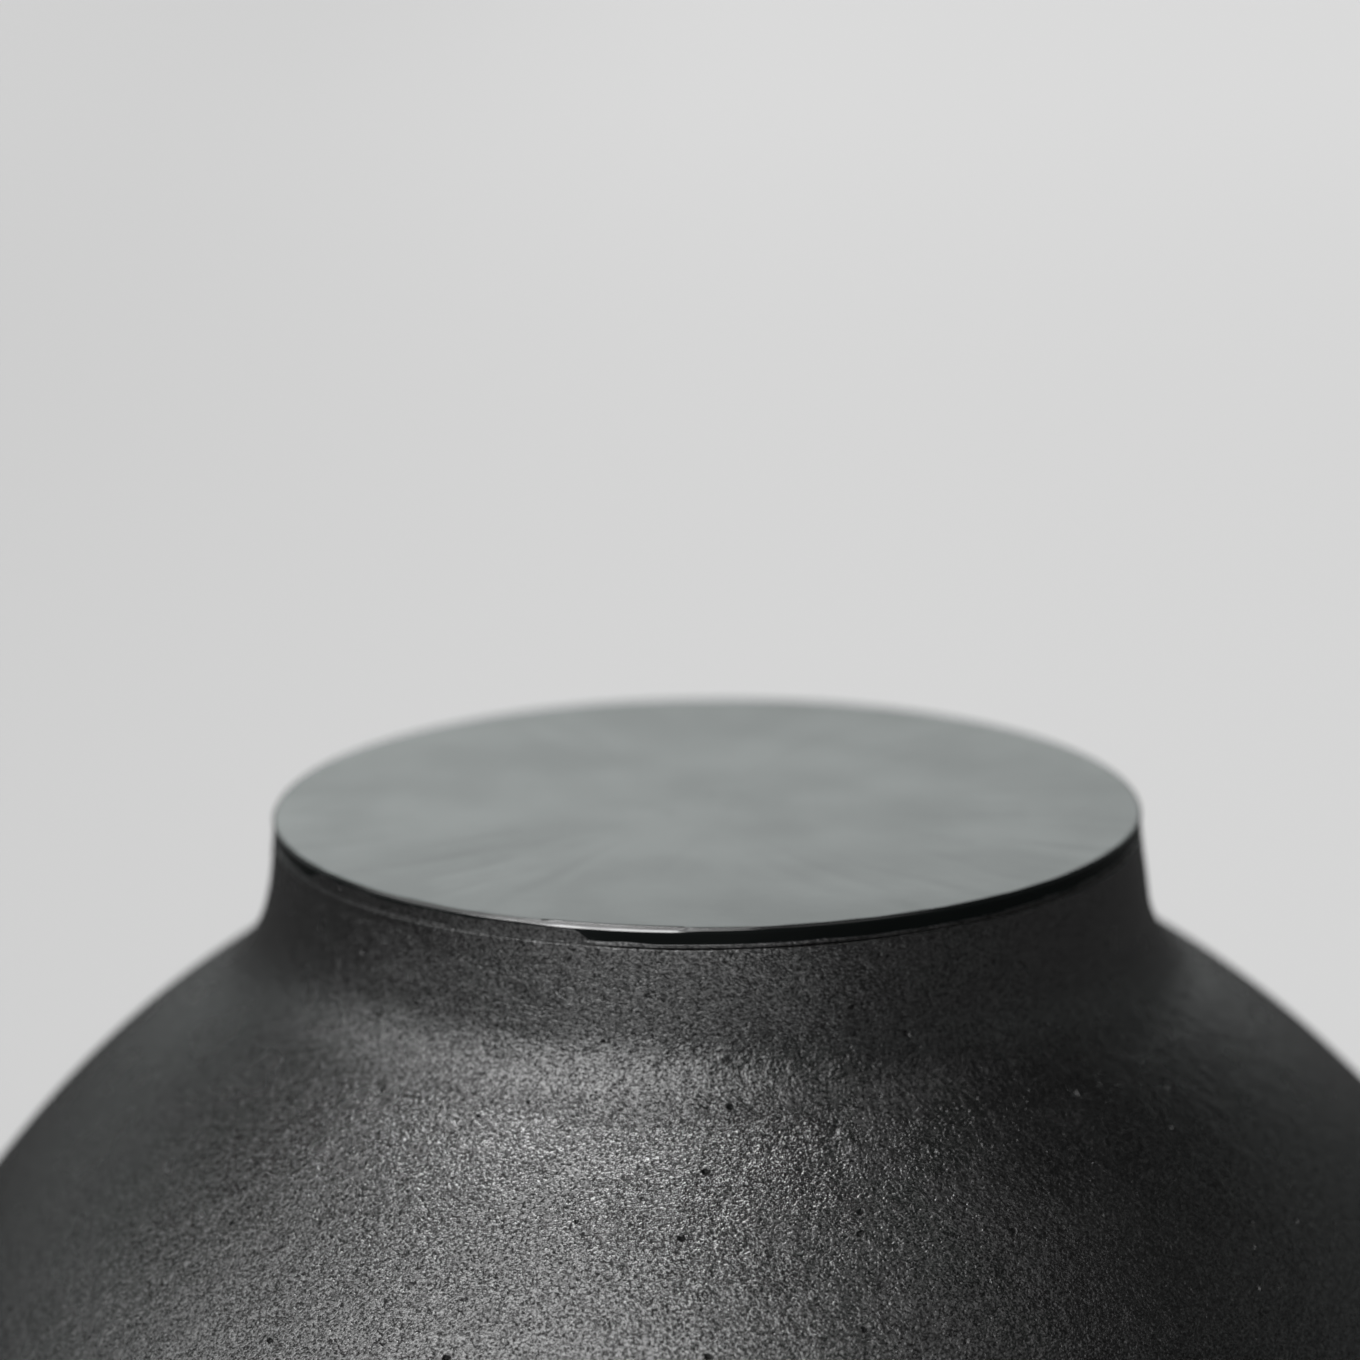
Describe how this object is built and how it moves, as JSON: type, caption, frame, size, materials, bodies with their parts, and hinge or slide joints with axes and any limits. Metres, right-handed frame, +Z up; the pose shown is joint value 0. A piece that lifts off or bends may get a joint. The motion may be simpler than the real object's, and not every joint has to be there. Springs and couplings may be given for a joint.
{
  "type": "lidded clay pot",
  "caption": "Round hollow clay pot with a short upright neck, a flat foot and a flat burnished lid that drops into the neck and lifts off.",
  "frame": {"origin": "centre of the foot, on the surface that the pot stands on", "axes": "+Z up along the axis of the pot and its lid; the pot is round, so +X and +Y are any two level directions"},
  "size_m": [0.24, 0.24, 0.235],
  "materials": {
    "matte_clay": "granular satin, unglazed smoke-blackened clay",
    "burnished_clay": "burnished to a gloss before firing"
  },
  "bodies": {
    "pot": {"pot_body": "matte_clay"},
    "lid": {"lid": "burnished_clay"}
  },
  "joints": [
    {"name": "lid_lift", "type": "slide", "parent": "pot", "child": "lid", "axis": [0, 0, 1], "range_m": [0, 0.15]}
  ]
}
